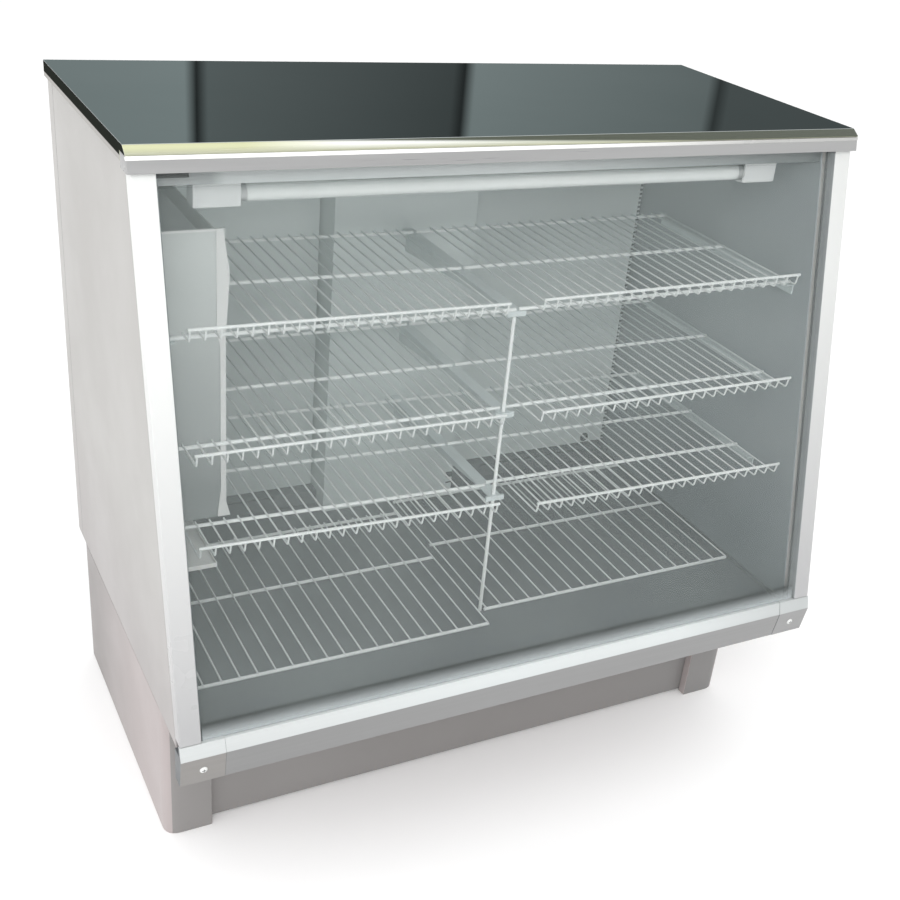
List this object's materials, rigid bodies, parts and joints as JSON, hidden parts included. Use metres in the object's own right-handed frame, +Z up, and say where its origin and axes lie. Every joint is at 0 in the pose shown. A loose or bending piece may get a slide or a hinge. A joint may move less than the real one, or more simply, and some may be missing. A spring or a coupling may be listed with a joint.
{
  "type": "display case",
  "caption": "Refrigerated counter display case with a sloping glass front, wire shelves, a lamp under the worktop and hinged doors at the back.",
  "frame": {"origin": "middle of the bounding box's underside, on the surface that the plinth stands on", "axes": "+X to the right as a shopper faces the glass, +Y from the glass to the rear doors, +Z up"},
  "size_m": [1.212, 0.7262, 1.17],
  "materials": {
    "white_enamel": "satin off-white enamel",
    "grey_enamel": "satin warm grey enamel",
    "post_white": "smooth bright white coating",
    "rail_aluminium": "satin anodised, long grain",
    "fascia_aluminium": "fine brushed grey",
    "polished_steel": "polished nearly to a mirror",
    "liner": "satin pale grey liner sheet",
    "door_panel": "satin pale grey, faint dents",
    "clear_glass": "clear, faint green edge",
    "white_wire": "dip-coated gloss white",
    "bracket_grey": "matt mid grey",
    "white_plastic": "moulded, soft corners",
    "opal_glass": "unlit opal white",
    "black_rubber": "matt soft seal",
    "fin_aluminium": "thin mill-finish fins",
    "black_steel": "semi-gloss black",
    "zinc_steel": "zinc-plated, dull",
    "black_plastic": "fine moulded texture"
  },
  "bodies": {
    "case": {"plinth_side_left": "grey_enamel", "plinth_side_right": "grey_enamel", "plinth_apron": "grey_enamel", "machine_pan": "zinc_steel", "machine_cover": "grey_enamel", "power_inlet": "black_plastic", "compressor": "black_steel", "condenser": "fin_aluminium", "fan_motor": "black_steel", "insulated_floor": "liner", "side_wall_left": "white_enamel", "side_wall_right": "white_enamel", "roof_panel": "liner", "worktop": "polished_steel", "fascia": "fascia_aluminium", "front_post_left": "post_white", "front_post_right": "post_white", "front_glass": "clear_glass", "inner_glass": "clear_glass", "front_rail": "rail_aluminium", "rail_cap_left": "rail_aluminium", "rail_cap_right": "rail_aluminium", "cap_screw_left": "zinc_steel", "cap_screw_right": "zinc_steel", "rear_sill": "zinc_steel", "rear_header": "white_enamel", "centre_pillar": "liner", "lamp_holder_left": "white_plastic", "lamp_holder_right": "white_plastic", "lamp_tube": "opal_glass", "front_rod": "white_wire", "shelf_arm_lower": "bracket_grey", "shelf_arm_middle": "bracket_grey", "shelf_arm_upper": "bracket_grey", "shelf_ledge_left_lower": "bracket_grey", "shelf_ledge_right_lower": "bracket_grey", "shelf_ledge_left_middle": "bracket_grey", "shelf_ledge_right_middle": "bracket_grey", "shelf_ledge_left_upper": "bracket_grey", "shelf_ledge_right_upper": "bracket_grey", "evaporator_cover": "liner", "evaporator_coil": "fin_aluminium", "drip_tray": "zinc_steel", "wire_shelf_left_lower": "white_wire", "wire_shelf_right_lower": "white_wire", "wire_shelf_left_middle": "white_wire", "wire_shelf_right_middle": "white_wire", "wire_shelf_left_upper": "white_wire", "wire_shelf_right_upper": "white_wire", "floor_grid_left": "white_wire", "floor_grid_right": "white_wire"},
    "left_door": {"rear_door_left": "door_panel", "door_gasket_left": "black_rubber", "door_pull_left": "rail_aluminium"},
    "right_door": {"rear_door_right": "door_panel", "door_gasket_right": "black_rubber", "door_pull_right": "rail_aluminium"},
    "knob": {"thermostat_knob": "black_plastic"},
    "switch": {"light_switch": "black_plastic"},
    "fan": {"condenser_fan": "black_plastic"}
  },
  "joints": [
    {"name": "left_door_hinge", "type": "hinge", "parent": "case", "child": "left_door", "pos_m": [-0.5747, 0.35315, 0.712], "axis": [0, 0, 1], "range_deg": [0, 110]},
    {"name": "right_door_hinge", "type": "hinge", "parent": "case", "child": "right_door", "pos_m": [0.5747, 0.35315, 0.712], "axis": [0, 0, -1], "range_deg": [0, 110]},
    {"name": "thermostat_turn", "type": "hinge", "parent": "case", "child": "knob", "pos_m": [-0.428, 0.35545, 0.14], "axis": [0, 1, 0], "range_deg": [0, 270]},
    {"name": "switch_rock", "type": "hinge", "parent": "case", "child": "switch", "pos_m": [-0.365, 0.34715, 0.14], "axis": [1, 0, 0], "range_deg": [0, 24]},
    {"name": "fan_spin", "type": "hinge", "parent": "case", "child": "fan", "pos_m": [0.098, 0.09315, 0.1343], "axis": [1, 0, 0], "continuous": true}
  ]
}
